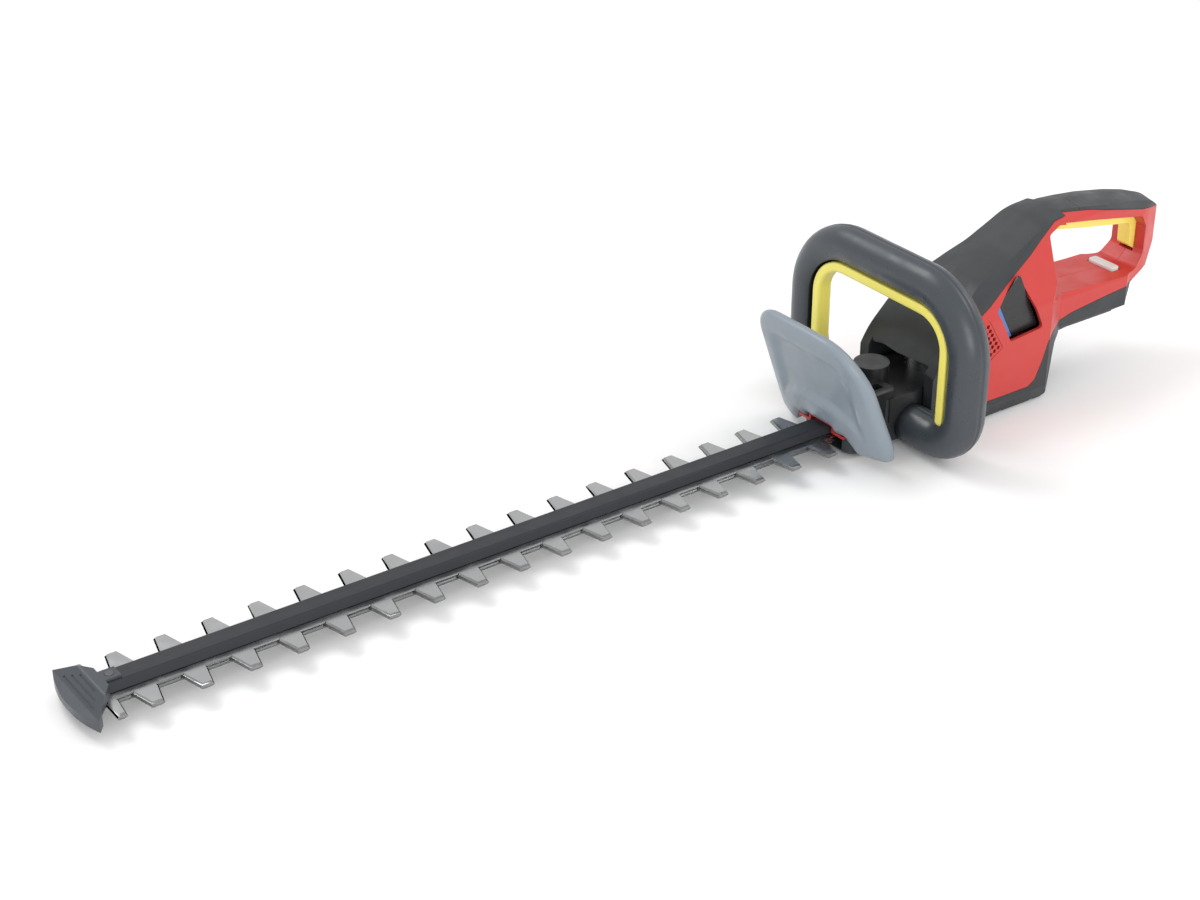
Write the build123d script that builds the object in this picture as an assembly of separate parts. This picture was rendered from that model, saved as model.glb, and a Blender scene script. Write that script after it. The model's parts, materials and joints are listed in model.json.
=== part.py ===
"""Cordless hedge trimmer: one STEP file for each separate piece, in millimetres.

+X points forward along the cutter bar, +Y to the machine's left and +Z up. The pieces are drawn with x = 0 at
the first tooth, and export moves them so that the origin lies on the ground under the middle of the length.
"""

import os
from math import acos, atan, atan2, cos, degrees, dist, pi, radians, sin, tan

from build123d import *

# ---------------------------------------------------------------- driving dimensions
tooth_pitch = 35.0
tooth_count = 18
tooth_reach = 35.0  # centre line to tooth tip
spine_half = 15.5
blade_thickness = 2.5
blade_gap = 0.1
shear_z = 14.0  # the plane where the two blades meet
crank_throw = 7.5  # half a blade's stroke
run_gap = 0.4  # room beside a moving piece

bar_end_x = 588.0
bar_height = 6.4
bar_half_low, bar_half_high = 10.2, 7.5
blade_front_x = 588.0
tip_back_x, tip_corner_x, tip_front_x = 582.0, 600.5, 607.0
tip_half = 35.5
tip_low_z = 9.0
tip_screw_x = 576.5
tail_x = -366.2
centre_x = (tip_front_x + tail_x) / 2

crank_x = -66.0
gear_module = 1.25
pinion_teeth, idler_teeth, main_teeth = 12, 24, 44
pressure_angle = radians(25)
backlash = 0.25
gear_z, gear_width = 26.0, 7.0

wall = 3.0
seam = 0.15  # half of the gap between neighbouring covers
housing_front_x = -92.0
step_x = -217.0  # where the wide body starts to taper to the narrow arm
body_half, body_base_half = 43.0, 38.0
grip_half, arm_half = 19.0, 25.0

loop_x = -80.0
loop_half, loop_top_z, loop_base_z = 90.0, 138.0, 17.0
loop_radius = 15.4
loop_end_y = 32.3
bail_travel = 4.0

# ---------------------------------------------------------------- derived sizes
upper_z = shear_z + blade_gap / 2
lower_z = shear_z - blade_gap / 2 - blade_thickness
bar_z = upper_z + blade_thickness + blade_gap
bar_top_z = bar_z + bar_height
tip_top_z = bar_top_z + 2.0
pinion_r = gear_module * pinion_teeth / 2
idler_r = gear_module * idler_teeth / 2
main_r = gear_module * main_teeth / 2
idler_x = crank_x - main_r - idler_r
motor_x = idler_x - idler_r - pinion_r
case_r = main_r + gear_module + 3.25
bolt_xs = [tooth_pitch * (k + 0.5) for k in (1, 4, 7, 10, 13, 15)]
bar_screw_spots = [(-28, -5.0), (-28, 5.0)]


# ---------------------------------------------------------------- helpers
def prism_xz(face, y_low, y_high):
    """An X-Z outline made solid from y_low to y_high."""
    return extrude(Plane.XZ.offset(-y_high) * face, y_high - y_low)


def prism_yz(face, x_low, x_high):
    """A Y-Z outline made solid from x_low to x_high."""
    return extrude(Plane.YZ.offset(x_low) * face, x_high - x_low)


def prism_xy(face, z_low, z_high):
    """An X-Y outline made solid from z_low to z_high."""
    return extrude(Plane.XY.offset(z_low) * face, z_high - z_low)


def outline(points, radii):
    """A closed face through the points, each corner rounded by its own radius, or by one for all."""
    if not hasattr(radii, "__len__"):
        radii = [radii] * len(points)
    return make_face(FilletPolyline(*points, radius=radii, close=True))


def block(x_low, x_high, y_low, y_high, z_low, z_high):
    size = (x_high - x_low, y_high - y_low, z_high - z_low)
    middle = ((x_low + x_high) / 2, (y_low + y_high) / 2, (z_low + z_high) / 2)
    return Pos(*middle) * Box(*size)


def post(x, y, z_low, z_high, r):
    """An upright cylinder."""
    return Pos(x, y, (z_low + z_high) / 2) * Cylinder(r, z_high - z_low)


def cross_rod(x, z, y_low, y_high, r):
    """A cylinder along Y."""
    return Pos(x, (y_low + y_high) / 2, z) * Rot(90, 0, 0) * Cylinder(r, y_high - y_low)


def long_rod(x_low, x_high, y, z, r):
    """A cylinder along X."""
    return Pos((x_low + x_high) / 2, y, z) * Rot(0, 90, 0) * Cylinder(r, x_high - x_low)


def mirrored(shape):
    """The shape's twin on the other side of the X-Z plane."""
    return mirror(shape, about=Plane.XZ)


def whole(shape):
    """The shape's solids as one compound, so that a sketch of leftovers never reaches the file."""
    return Compound(children=list(shape.solids()))


def save(name, shape):
    solids = list((Pos(-centre_x, 0, 0) * shape).solids())
    export_step(solids[0] if len(solids) == 1 else Compound(children=solids), f"parts/{name}.step")


# ---------------------------------------------------------------- cutter bar
def blade(z_low, taper_up):
    """One reciprocating blade: spine, bevelled teeth on both sides, bolt slots and the drive yoke at its tail."""
    tooth_base, tooth_tip = 10.5, 4.6
    yoke_x, yoke_y = 4.0 + 2 * crank_throw + run_gap, 4.0 + crank_throw + run_gap
    spine = SlotOverall(2 * (yoke_x + 7.5), 2 * (yoke_y + 6.0))
    body = prism_xy(Pos(crank_x, 0) * spine, z_low, z_low + blade_thickness)
    body += block(crank_x + yoke_x + 2, -18, -9, 9, z_low, z_low + blade_thickness)
    body += block(-18, blade_front_x, -spine_half, spine_half, z_low, z_low + blade_thickness)
    shear = z_low if taper_up else z_low + blade_thickness
    side = Plane((0, 0, shear), z_dir=(0, 0, 1 if taper_up else -1), x_dir=(1, 0, 0))
    teeth = []
    for k in range(tooth_count):
        x = tooth_pitch * k
        for way in (1, -1):
            root, tip = way * (spine_half - 4), way * tooth_reach
            corners = [(x - tooth_base, root), (x - tooth_tip, tip), (x + tooth_tip, tip), (x + tooth_base, root)]
            if k == tooth_count - 1:
                corners = [(blade_front_x - 10.0, root), (blade_front_x - 7.0, tip), (blade_front_x, tip),
                           (blade_front_x, root)]
            corners = [(a, b if taper_up else -b) for a, b in corners]
            if (way > 0) == taper_up:
                corners.reverse()
            face = make_face(Polyline(*corners, close=True))
            teeth.append(extrude(side * face, blade_thickness, taper=38))
    body = body.fuse(*teeth)
    slot = SlotOverall(2 * (4.0 + crank_throw + run_gap), 2 * 4.3)
    for x in bolt_xs:
        body -= prism_xy(Pos(x, 0) * slot, z_low - 1, z_low + blade_thickness + 1)
    yoke = Pos(crank_x, 0) * RectangleRounded(2 * yoke_x, 2 * yoke_y, 6)
    return body - prism_xy(yoke, z_low - 1, z_low + blade_thickness + 1)


def guide_bar():
    section = outline(
        [(-bar_half_low, bar_z), (bar_half_low, bar_z), (bar_half_high, bar_z + bar_height),
         (-bar_half_high, bar_z + bar_height)],
        [0.4, 0.4, 2.0, 2.0],
    )
    bar = prism_yz(section, -40, bar_end_x)
    for x in bolt_xs:
        bar -= post(x, 0, bar_z - 1, bar_z + 5.2, 2.1)
    for x, y in bar_screw_spots:
        bar -= post(x, y, bar_z + 1.5, bar_z + bar_height + 1, 2.1)
    return bar - post(tip_screw_x, 0, bar_z + 2.5, bar_z + bar_height + 1, 1.6)


def blade_bolts():
    """Shoulder bolts from below: the shoulder runs in the blades' slots and the thread ends in the bar."""
    bolts = []
    for x in bolt_xs:
        bolt = post(x, 0, lower_z - 1.4, bar_z, 4.0) + post(x, 0, bar_z, bar_z + 4.6, 2.1)
        head = prism_xy(Pos(x, 0) * RegularPolygon(5.5, 6), lower_z - 5.4, lower_z - 1.4)
        bolts.append(bolt + head)
    return Compound(children=bolts)


def blade_washers():
    rings = []
    for x in bolt_xs:
        rings.append(post(x, 0, lower_z - 1.3, lower_z - 0.1, 8) - post(x, 0, 0, lower_z + 1, 4.05))
    return Compound(children=rings)


def tip_protector():
    """A delta-shaped nose in front of the blades, held by a tongue screwed down on the bar."""
    back_half = bar_half_low + 1.2
    plan = make_face(
        Polyline((tip_corner_x, -tip_half), (tip_back_x, -back_half), (tip_back_x, back_half), (tip_corner_x, tip_half))
        + ThreePointArc((tip_corner_x, tip_half), (tip_front_x, 0), (tip_corner_x, -tip_half))
    )
    corner_z = bar_z + 0.8
    profile = outline(
        [(tip_back_x - 1, tip_low_z), (tip_front_x + 1, tip_low_z), (tip_front_x + 1, corner_z - 3.2),
         (tip_corner_x, corner_z), (bar_end_x + 1, tip_top_z), (tip_back_x - 1, tip_top_z)],
        [0.5, 2, 1.5, 4, 4, 0.5],
    )
    nose = prism_xy(plan, 0, tip_top_z) & prism_xz(profile, -tip_half - 1, tip_half + 1)
    nose += block(tip_screw_x - 6, tip_back_x + 1, -5.8, 5.8, bar_top_z + 0.05, tip_top_z)
    lip_x = blade_front_x + crank_throw + run_gap
    nose -= block(tip_back_x - 2, lip_x, -tip_half - 2, tip_half + 2, 2, bar_z - 0.1)
    low, high, under = bar_half_low + 0.1, bar_half_high + 0.1, bar_top_z + 0.05
    channel = Polyline((-low, bar_z - 2), (low, bar_z - 2), (low, bar_z), (high, under), (-high, under),
                       (-low, bar_z), close=True)
    nose -= prism_yz(make_face(channel), tip_back_x - 9, bar_end_x + 0.1)
    fall = (tip_top_z - corner_z) / (tip_corner_x - bar_end_x - 1)
    for k in range(3):
        groove_x = bar_end_x + 3.4 + 3.4 * k
        groove_z = tip_top_z - fall * (groove_x - bar_end_x - 1)
        nose -= Pos(groove_x, 0, groove_z) * Rot(0, degrees(atan(fall)), 0) * Box(1.3, 24 + 11 * k, 1.4)
    return nose - post(tip_screw_x, 0, bar_z, tip_top_z + 1, 1.7) - post(tip_screw_x, 0, tip_top_z - 0.9, tip_top_z + 1, 3.2)


# ---------------------------------------------------------------- gears
def gear_face(teeth, turn):
    """An involute gear outline with short teeth and backlash; turn is in tooth pitches."""
    pitch_r = gear_module * teeth / 2
    base_r = pitch_r * cos(pressure_angle)
    tip_r, root_r = pitch_r + 0.8 * gear_module, pitch_r - 1.1 * gear_module
    half_at_pitch = pi / (2 * teeth) - backlash / (2 * pitch_r)
    spread = tan(pressure_angle) - pressure_angle
    flank = []
    for k in range(5):
        r = max(base_r, root_r) + (tip_r - max(base_r, root_r)) * k / 4
        a = acos(min(1.0, base_r / r))
        flank.append((r, half_at_pitch + spread - (tan(a) - a)))
    if root_r < base_r:
        flank.insert(0, (root_r, flank[0][1]))
    points = []
    for k in range(teeth):
        middle = 2 * pi * (k + turn) / teeth
        for r, a in flank:
            points.append((r * cos(middle - a), r * sin(middle - a)))
        for r, a in reversed(flank):
            points.append((r * cos(middle + a), r * sin(middle + a)))
    return make_face(Polyline(*points, close=True))


def crank_gear():
    """The main gear has a tooth gap on -X, where the idler's tooth comes in."""
    gear = prism_xy(Pos(crank_x, 0) * gear_face(main_teeth, 0.5), gear_z, gear_z + gear_width)
    gear -= post(crank_x, 0, gear_z + 4.5, gear_z + 10, main_r - 5) - post(crank_x, 0, 0, 60, 11)
    for k in range(6):
        gear -= Pos(crank_x, 0, gear_z) * Rot(0, 0, 60 * k) * Pos(17, 0) * Cylinder(3.6, 20)
    return gear - post(crank_x, 0, 0, 60, 5.0)


def crankshaft():
    """Shaft above the gear, crank disc below it, and two opposed crank pins for the two blades."""
    shaft = post(crank_x, 0, gear_z - 2, 57, 5.0) + post(crank_x, 0, bar_z + 1.0, gear_z - 0.05, 11.6)
    upper_pin = post(crank_x, crank_throw, upper_z + 0.2, bar_z + 2, 3.6)
    lower_pin = post(crank_x, -crank_throw, lower_z + 0.2, bar_z + 2, 3.6)
    return shaft + upper_pin + lower_pin


def idler_gear():
    gear = prism_xy(Pos(idler_x, 0) * gear_face(idler_teeth, 0.0), gear_z, gear_z + gear_width)
    return gear - post(idler_x, 0, 0, 60, 3.05)


def motor_pinion():
    gear = prism_xy(Pos(motor_x, 0) * gear_face(pinion_teeth, 0.5), gear_z - 1, gear_z + gear_width + 2)
    return gear - post(motor_x, 0, 0, 60, 2.5)


# ---------------------------------------------------------------- motor
motor_low_z, motor_high_z, motor_r = 42.0, 74.0, 23.0


def motor_can():
    can = post(motor_x, 0, motor_low_z, motor_high_z, motor_r) - post(motor_x, 0, motor_low_z + 3, 100, motor_r - 2)
    can += post(motor_x, 0, motor_high_z - 3, motor_high_z, motor_r - 1) - post(motor_x, 0, 0, 100, motor_r - 7)
    can -= post(motor_x, 0, 0, motor_low_z + 10, 6.5)
    for k in range(4):
        can -= Pos(motor_x, 0, motor_low_z) * Rot(0, 0, 90 * k + 45) * Pos(10, 0, 0) * Cylinder(1.3, 20)
    for k in range(8):
        window = Pos(motor_x, 0, motor_high_z - 9) * Rot(0, 0, 45 * k) * Pos(motor_r, 0, 0) * Box(12, 7, 8)
        can -= window
    return can


def motor_stator():
    core = post(motor_x, 0, motor_low_z + 6.2, motor_high_z - 14, motor_r - 2.1) - post(motor_x, 0, 0, 100, 13.2)
    for k in range(6):
        slot = Rot(0, 0, 60 * k + 30) * Pos(16, 0, 0) * Cylinder(2.6, 60)
        core -= Pos(motor_x, 0, motor_low_z + 15) * slot
    return core


def motor_windings():
    """One coil above and below the core on each of the six stator teeth."""
    coils = []
    for z in (motor_low_z + 4.6, motor_high_z - 12.4):
        for k in range(6):
            coil = Pos(motor_x, 0, z) * Rot(0, 0, 60 * k) * Pos(17, 0, 0) * Box(5.5, 9, 3.0)
            coils.append(fillet(coil.edges().filter_by(Axis.Z), 1.5))
    return Compound(children=coils)


def motor_rotor():
    rotor = post(motor_x, 0, gear_z - 2, motor_high_z + 8, 2.5)
    return rotor + post(motor_x, 0, motor_low_z + 6.5, motor_high_z - 14.5, 12.8)


def motor_bearings():
    low = post(motor_x, 0, motor_low_z - 3, motor_low_z + 3, 6.4) - post(motor_x, 0, 0, 100, 2.55)
    high = post(motor_x, 0, motor_high_z - 3.4, motor_high_z + 0.6, 6.4) - post(motor_x, 0, 0, 100, 2.55)
    return Compound(children=[low, high])


def motor_end_cap():
    """The spider above the motor that holds its upper bearing."""
    ring = post(motor_x, 0, motor_high_z, motor_high_z + 1.5, motor_r - 0.5) - post(motor_x, 0, 0, 100, motor_r - 5)
    hub = post(motor_x, 0, motor_high_z - 3.4, motor_high_z + 1.5, 8.6)
    for k in range(3):
        arm = Pos(motor_x, 0, motor_high_z + 0.75) * Rot(0, 0, 120 * k) * Pos(13, 0, 0) * Box(14, 5, 1.5)
        ring += arm
    return (ring + hub) - post(motor_x, 0, 0, motor_high_z + 0.6, 6.4) - post(motor_x, 0, 0, 100, 2.8)


def cooling_fan():
    fan = post(motor_x, 0, motor_high_z + 2.4, motor_high_z + 3.6, 17.5) + post(motor_x, 0, motor_high_z + 2.4, motor_high_z + 8, 5)
    for k in range(9):
        vane = Pos(motor_x, 0, motor_high_z + 5.2) * Rot(0, 0, 40 * k) * Pos(11, 0, 0) * Rot(0, 0, 25) * Box(11, 1.2, 4)
        fan += vane
    return fan - post(motor_x, 0, 0, 100, 2.5)


# ---------------------------------------------------------------- gear case
case_low_z, case_split_z, case_high_z, tower_z = 17.8, 22.0, 42.0, 67.0
tower_back_x, tower_front_x, tower_half = -91.0, -71.0, 31.0
nose_x, nose_half, nose_z = -22.0, 30.0, 50.0
case_back_r = 27.0
boss_r, boss_z = 14.0, 60.0  # round the crankshaft's upper bearings
case_screw_spots = [(x, way * y) for x, y in ((-43.5, 25.0), (-92.0, 21.5), (-143.0, 22.0)) for way in (1, -1)]
pan_screw_spots = [(x, way * 25.0) for x in (-33.5, -104.0) for way in (1, -1)]
shield_screw_spots = [(20.0, 33.0), (-20.0, 33.0), (20.0, 44.0), (-20.0, 44.0)]
loop_screw_spots = [(loop_x - 5, 24.5), (loop_x + 5, 24.5)]


def case_plan(inset):
    """Round about the main gear, tapering back to a smaller round about the motor pinion."""
    front_r, back_r = case_r - inset, case_back_r - inset
    slant = pi - acos((front_r - back_r) / (crank_x - motor_x))
    sides = [(crank_x + front_r * cos(slant), front_r * sin(slant))]
    sides += [(motor_x + back_r * cos(slant), back_r * sin(slant))]
    sides += [(x, -y) for x, y in reversed(sides)]
    web = make_face(Polyline(*sides, close=True))
    return Pos(crank_x, 0) * Circle(front_r) + Pos(motor_x, 0) * Circle(back_r) + web


def nose_plan():
    corners = [(crank_x, -nose_half), (nose_x, -nose_half), (nose_x, nose_half), (crank_x, nose_half)]
    return outline(corners, 4.0)


def gear_case():
    """Casting over the gears, with a nose for the cutter bar and a tower for the crankshaft's bearings."""
    case = prism_xy(case_plan(0), case_split_z, case_high_z)
    nose = prism_xy(nose_plan(), case_split_z, nose_z)
    case += chamfer(nose.faces().sort_by(Axis.Z)[-1].edges(), 1.5)
    side = outline(
        [(tower_back_x, 40), (-60, 40), (tower_front_x, 46), (tower_front_x, tower_z), (tower_back_x, tower_z)],
        [0.1, 0.1, 0.1, 3.0, 0.1],
    )
    across = outline(
        [(-tower_half - 1, 38), (tower_half + 1, 38), (tower_half, tower_z), (-tower_half, tower_z)], [0.1, 0.1, 3, 3]
    )
    case += prism_xz(side, -40, 40) & prism_yz(across, -110, -40)
    case += block(tower_back_x, -58, -loop_end_y + 0.2, loop_end_y - 0.2, case_split_z, case_high_z)
    case += post(crank_x, 0, case_high_z - 1, boss_z, boss_r)
    case -= prism_xy(case_plan(3.0), case_split_z - 1, case_high_z - 3)
    for y in (-20, 20):
        case -= block(tower_back_x - 1, -80.5, y - 7, y + 7, case_high_z + 1, tower_z - 3)
        case -= block(-58, -36, y - 4, y + 4, nose_z - 5, nose_z + 1)
    case -= block(-41, nose_x + 1, -bar_half_low - 0.2, bar_half_low + 0.2, 20, bar_z + bar_height + 0.05)
    case -= block(-35, nose_x + 1, -9.2, 9.2, 20, bar_z + bar_height + 2.5)
    case -= post(crank_x, 0, 38, 49.5, 11.0) + post(crank_x, 0, 38, 57.2, 8.0)
    case -= post(motor_x, 0, 30, 60, 6.4)
    for k in range(4):
        case -= Pos(motor_x, 0, case_high_z) * Rot(0, 0, 90 * k + 45) * Pos(10, 0, 0) * Cylinder(1.2, 8)
    for x, y in bar_screw_spots:
        case -= post(x, y, 20, 60, 2.2) + post(x, y, 36, 60, 4.0)
    for y, z in shield_screw_spots:
        case -= long_rod(-32, nose_x + 1, y, z, 1.5)
    for x, z in loop_screw_spots:
        case -= cross_rod(x, z, -40, -22, 1.5) + cross_rod(x, z, 22, 40, 1.5)
    for x, y in case_screw_spots:
        case += post(x, y, case_split_z, case_high_z - 2, 4.2)
        case -= post(x, y, case_split_z - 1, case_split_z + 10, 1.5)
    return case


def gear_case_base():
    plan = case_plan(0) + nose_plan()
    for x, y in case_screw_spots:
        plan += Pos(x, y) * Circle(4.2)
    base = prism_xy(plan, case_low_z, case_split_z) - post(crank_x, 0, 0, 40, 12.2)
    base -= block(-41, -20, -bar_half_low - 0.2, bar_half_low + 0.2, 0, 40)
    base += post(idler_x, 0, case_low_z, gear_z - 0.3, 6.0)
    base -= post(idler_x, 0, 0, 60, 3.0)
    for x, y in case_screw_spots:
        base -= post(x, y, 0, 60, 1.5)
    for x, y in pan_screw_spots:
        base -= post(x, y, 0, 60, 1.5)
    return base


def blade_pan():
    """Tray under the gear case that closes the yokes in; its front is open for the blades."""
    pan = prism_xy(Pos(-68, 0) * RectangleRounded(92, 60, 12), 2.0, case_low_z - 0.1)
    pan = chamfer(pan.faces().sort_by(Axis.Z)[0].edges(), 2.5)
    pan -= block(-111, -20, -19.5, 19.5, 4.5, case_low_z + 1)
    for x, y in pan_screw_spots:
        pan -= post(x, y, 0, 30, 1.7) + post(x, y, 0, 5.0, 3.4)
    for x, y in case_screw_spots:
        pan -= post(x, y, case_low_z - 2.6, case_low_z + 1, 3.4)
    return pan


def idler_pin():
    return post(idler_x, 0, case_low_z + 0.2, case_high_z - 3.3, 3.0)


def crank_bearings():
    low = post(crank_x, 0, 40.5, 49.4, 10.95) - post(crank_x, 0, 0, 60, 5.02)
    high = post(crank_x, 0, 50.2, 57.0, 7.95) - post(crank_x, 0, 0, 60, 5.02)
    return Compound(children=[low, high])


def case_screws():
    screws = []
    for x, y in case_screw_spots:
        screws.append(post(x, y, case_low_z - 2.2, case_low_z, 3.0) + post(x, y, case_low_z, case_split_z + 9, 1.5))
    return Compound(children=screws)


def pan_screws():
    screws = []
    for x, y in pan_screw_spots:
        screws.append(post(x, y, 2.9, 5.0, 3.0) + post(x, y, 5.0, case_split_z - 0.5, 1.5))
    return Compound(children=screws)


def bar_screws():
    screws = []
    for x, y in bar_screw_spots:
        head = post(x, y, 36, 40, 3.6) - prism_xy(Pos(x, y) * RegularPolygon(1.9, 6), 38, 41)
        screws.append(head + post(x, y, bar_z + 2, 36, 2.1))
    return Compound(children=screws)


def bridge_plate():
    """Pressed saddle over the bar with a tongue clamped in the nose and two feet beside the bar."""
    low, high, sheet = case_low_z, bar_top_z + 0.1, 2.3
    right = [(12.0, high), (12.0, low), (26.0, low), (26.0, low + sheet), (14.3, low + sheet), (14.3, high + sheet)]
    left = [(-y, z) for y, z in reversed(right)]
    plate = prism_yz(make_face(Polyline(*right, *left, close=True)), nose_x + 0.2, -17.2)
    plate += block(-34.5, nose_x + 1, -9, 9, high, high + sheet)
    for x, y in bar_screw_spots:
        plate -= post(x, y, 20, 30, 2.2)
    return plate


# ---------------------------------------------------------------- hand shield
def shield_sheet(half_thick, low_z, high_z):
    """A leaning sheet, strongly curved across its foot and nearly flat across its top."""
    faces = []
    for z in (low_z, high_z):
        share = (z - 6.0) / 110.0
        x, sag = -22.0 + 22.5 * share, 17.0 - 15.0 * share
        front = ThreePointArc((x - sag + half_thick, -66), (x + half_thick, 0), (x - sag + half_thick, 66))
        back = ThreePointArc((x - sag - half_thick, 66), (x - half_thick, 0), (x - sag - half_thick, -66))
        ends = [Line(front @ 1, back @ 0), Line(back @ 1, front @ 0)]
        faces.append(Plane.XY.offset(z) * make_face([front, ends[0], back, ends[1]]))
    return loft(faces)


def shield_outline(inset):
    """Front view of the shield: upright sides leaning in, big round shoulders and a low peak."""
    foot, waist, shoulder = 60.5 - inset, 63.5 - inset, 58.0 - inset
    right = [(foot, 7.0 + inset), (waist, 21.0 + inset), (shoulder, 106.0 - inset)]
    points = right + [(0, 114.0 - inset)] + [(-y, z) for y, z in reversed(right)]
    radii = [3.0, 10.0, 38.0 - inset, 150.0]
    return outline(points, radii + radii[2::-1])


def shield():
    body = shield_sheet(4.5, 6, 116) & prism_yz(shield_outline(0), -60, 30)
    body -= (shield_sheet(4.8, 4, 118) - shield_sheet(1.6, 4, 118)) & prism_yz(shield_outline(20), -60, 30)
    for y, z in shield_screw_spots:
        body += long_rod(nose_x + 0.1, -14.5, y, z, 5.0)
    body -= block(-60, nose_x + 0.1, -32, 32, 0, 60)
    body -= block(-60, 10, -27, 27, 0, 20.4) + block(-60, 10, -15, 15, 0, bar_top_z + 2.8)
    for y, z in shield_screw_spots:
        body -= long_rod(-30, 0, y, z, 1.8) + long_rod(-19.2, 10, y, z, 3.4)
    return body


def shield_screws():
    screws = []
    for y, z in shield_screw_spots:
        screws.append(long_rod(-19.2, -16.8, y, z, 3.0) + long_rod(-31.5, -19.2, y, z, 1.5))
    return Compound(children=screws)


# ---------------------------------------------------------------- front loop handle
bail_x_low, bail_x_high = loop_x - 3.0, loop_x + 11.0
loop_clamp_spots = [(0, loop_top_z)]
loop_clamp_spots += [(way * y, z) for y, z in ((52, loop_top_z), (loop_half, 62), (52, loop_base_z)) for way in (1, -1)]


def loop_path():
    """Centre line of the hoop, from one side of the gear case up and over to the other."""
    corners = [(loop_end_y, loop_base_z), (loop_half, loop_base_z), (loop_half, loop_top_z)]
    corners += [(-y, z) for y, z in reversed(corners)]
    return Plane.YZ.offset(loop_x) * FilletPolyline(*corners, radius=[30.0, 46.0, 46.0, 30.0])


def hoop(r):
    path = loop_path()
    start = Plane(origin=path @ 0, z_dir=path % 0)
    return sweep(start * Circle(r), path)


def bail_outline(inset, foot_z):
    """The inverted U inside the hoop, as a solid patch down to foot_z."""
    half, high, r = 76.5 - inset, 124.5 - inset, 32.5 - inset
    corners = [(-half, foot_z), (half, foot_z), (half, high), (-half, high)]
    return outline(corners, [0.2, 0.2, r, r])


def bail():
    """The yellow switch bail: a strip inside the hoop, lifted into it by the fingers."""
    return prism_yz(bail_outline(0, 33) - bail_outline(8.5, 20), bail_x_low, bail_x_high)


def loop_shells():
    """The hoop in two clamped halves, with end walls, screw bosses and the bail's groove."""
    shell = hoop(loop_radius) - hoop(loop_radius - 3.0)
    for way in (1, -1):
        y0, y1 = sorted((way * loop_end_y, way * (loop_end_y + 3.0)))
        shell += cross_rod(loop_x, loop_base_z, y0, y1, loop_radius - 0.5)
    for y, z in loop_clamp_spots:
        shell += long_rod(loop_x - 13, loop_x + 13, y, z, 3.6)
    groove = bail_outline(-0.35, 28)
    groove = groove + Pos(0, bail_travel) * groove
    shell -= prism_yz(groove - bail_outline(18, 0), bail_x_low - 0.35, bail_x_high + 0.35)
    for y, z in loop_clamp_spots:
        shell -= long_rod(loop_x - 20, loop_x + 9, y, z, 1.5) + long_rod(loop_x - 20, loop_x - 10.5, y, z, 3.0)
    for x, z in loop_screw_spots:
        shell -= cross_rod(x, z, -60, 60, 1.7) - block(-120, -40, -30, 30, 0, 60)
    front = shell - block(loop_x - 40, loop_x + seam, -120, 120, -10, 170)
    rear = shell - block(loop_x - seam, loop_x + 40, -120, 120, -10, 170)
    return front, rear


def loop_clamp_screws():
    screws = []
    for y, z in loop_clamp_spots:
        screws.append(long_rod(loop_x - 12.6, loop_x - 10.5, y, z, 2.8) + long_rod(loop_x - 10.5, loop_x + 8, y, z, 1.5))
    return Compound(children=screws)


def loop_mount_screws():
    screws = []
    for x, z in loop_screw_spots:
        for way in (1, -1):
            y0, y1, y2 = way * 22.5, way * (loop_end_y + 3.0), way * (loop_end_y + 5.4)
            screw = cross_rod(x, z, min(y0, y1), max(y0, y1), 1.5) + cross_rod(x, z, min(y1, y2), max(y1, y2), 3.0)
            screws.append(screw)
    return Compound(children=screws)


def coil(x, y, z_low, z_high, r, wire, turns):
    """An upright compression spring."""
    path = Pos(x, y, z_low + wire) * Helix((z_high - z_low - 2 * wire) / turns, z_high - z_low - 2 * wire, r)
    return sweep(Plane(origin=path @ 0, z_dir=path % 0) * Circle(wire), path)


def bail_springs():
    springs = []
    for y in (-38, 38):
        springs.append(coil(loop_x + 2.0, y, 124.8, 149.0, 3.0, 0.5, 7))
    return Compound(children=springs)


def bail_switch():
    """A small snap switch in the hoop's crown, with its roller plunger over the bail."""
    body = block(loop_x - 6, loop_x + 6, 9, 27, 135.0, 145.0)
    for y in (12, 24):
        body -= long_rod(loop_x - 10, loop_x + 10, y, 138.0, 1.2)
    body += post(loop_x + 2, 18, 129.4, 135.0, 1.2)
    for y in (11, 18, 25):
        body += block(loop_x - 1.5, loop_x + 1.5, y - 0.3, y + 0.3, 145.0, 148.0)
    return body


# ---------------------------------------------------------------- main body
body_profile = [
    (-92.0, 2.0), (-92.0, 61.0), (-100, 74), (-119, 92), (-141, 115), (-163, 123), (-182, 129), (-205, 140), (-221, 148),
    (-245, 150), (-265, 148), (-294, 144), (-324, 139), (-353, 132), (-367.5, 119), (-363, 92), (-352, 72),
    (-327, 66), (-325, 59), (-319, 49), (-292, 48), (-265, 49), (-243, 46), (-234, 41), (-230, 31), (-225, 15),
    (-220, 2), (-214, 0), (-160, 0), (-150, 2),
]
hole_profile = [
    (-224, 81), (-224, 134), (-236, 139), (-278, 132), (-336, 121), (-344, 110), (-344, 86), (-334, 75),
    (-300, 76), (-268, 78),
]
black_line = [
    (-134, 89), (-152, 97), (-169, 107), (-185, 116), (-200, 124), (-216, 134), (-231, 143), (-246, 145),
    (-275, 141), (-346, 125), (-380, 118),
]
lower_line = [
    (-197, 16.5), (-204, 21), (-211, 37), (-216, 52), (-225, 55), (-240, 56), (-257, 60), (-294, 64), (-329, 67),
    (-380, 67),
]
cap_seam_x = -264.0
cover_boss_spots = [
    (-168, 24, 41), (-207, 50, 41), (-204, 122, 28), (-240, 70, 26), (-300, 69.6, 26), (-348.5, 78, 14.5),
]
housing_screw_spots = [(x, way * 35.5) for x in (-172, -206) for way in (1, -1)]
trigger_pin_x, trigger_pin_z = -351.5, 92.0
trigger_half = 6.5


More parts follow.
